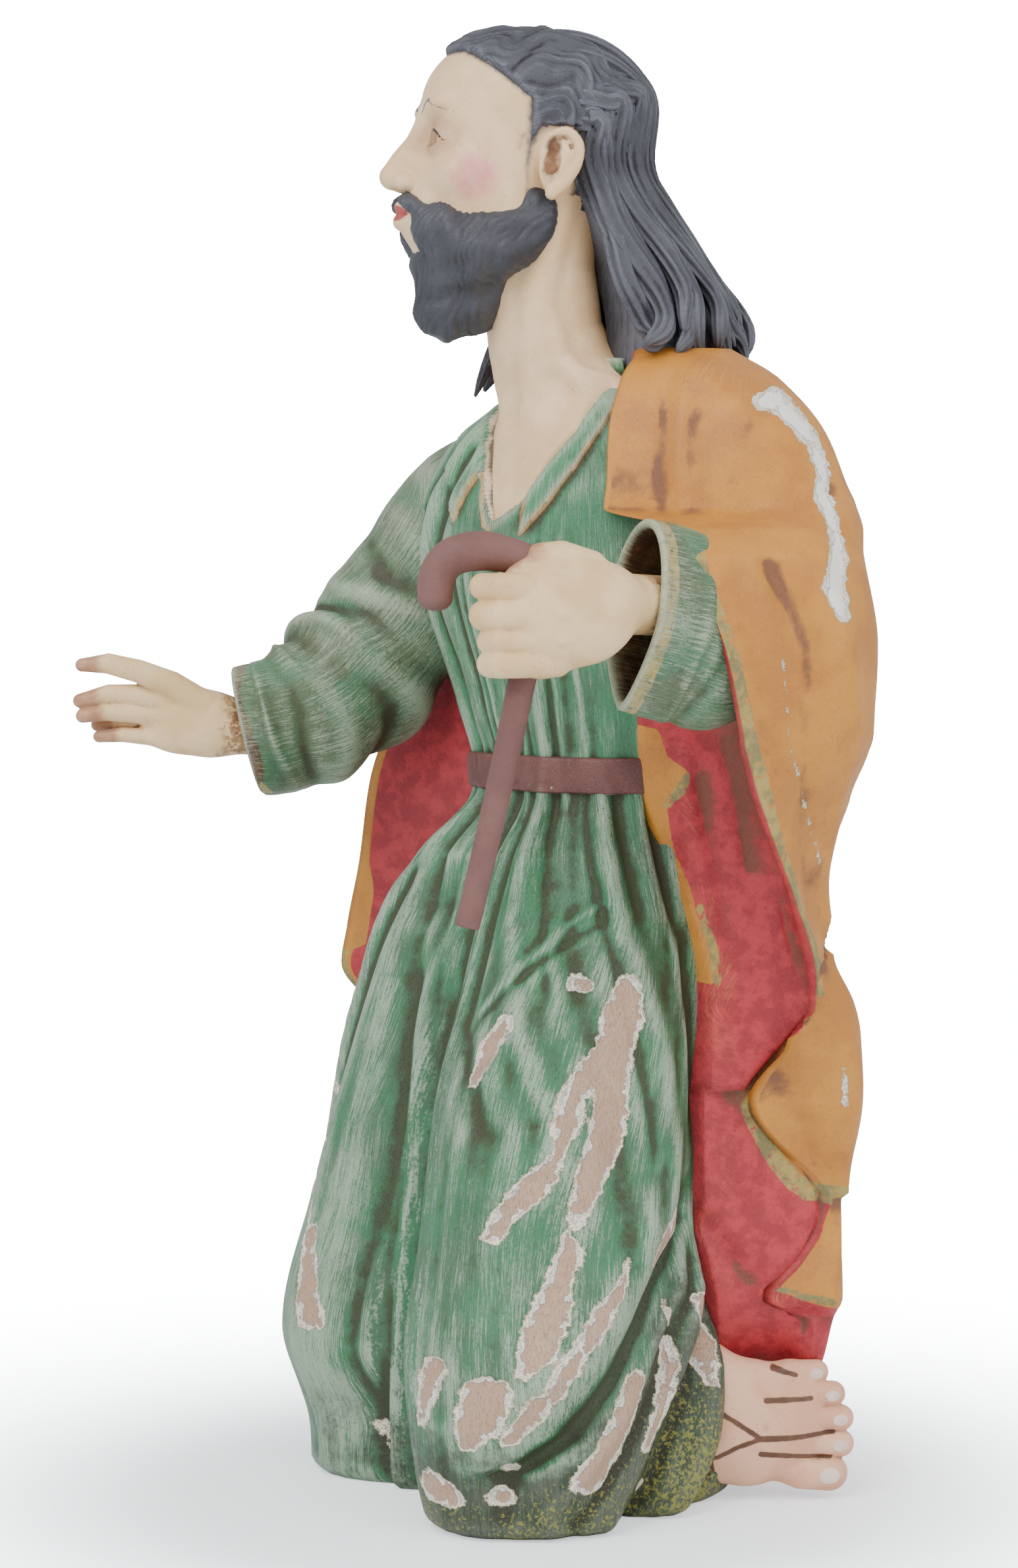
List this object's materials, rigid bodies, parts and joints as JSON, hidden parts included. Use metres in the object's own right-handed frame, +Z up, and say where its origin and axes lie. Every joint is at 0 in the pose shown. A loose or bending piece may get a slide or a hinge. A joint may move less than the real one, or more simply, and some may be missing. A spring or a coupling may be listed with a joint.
{
  "type": "kneeling saint statue",
  "caption": "Carved and painted wooden figure of a bearded man kneeling in a tunic and mantle, one hand open and the other holding a shepherd's crook.",
  "frame": {"origin": "middle of the part's plan box, on the flat underside of the robe", "axes": "+Z up; the figure faces -Y; its own left, the side of the crook, is +X"},
  "size_m": [0.1875, 0.1709, 0.3996],
  "materials": {
    "figure": "old oil paint on gesso over carved wood, worn and chipped",
    "flesh": "satin flesh-coloured paint on carved wood",
    "staff": "matt brown paint on a wooden stick"
  },
  "bodies": {
    "root": {"figure": "figure", "right_hand": "flesh", "left_hand": "flesh", "staff": "staff"}
  },
  "joints": []
}
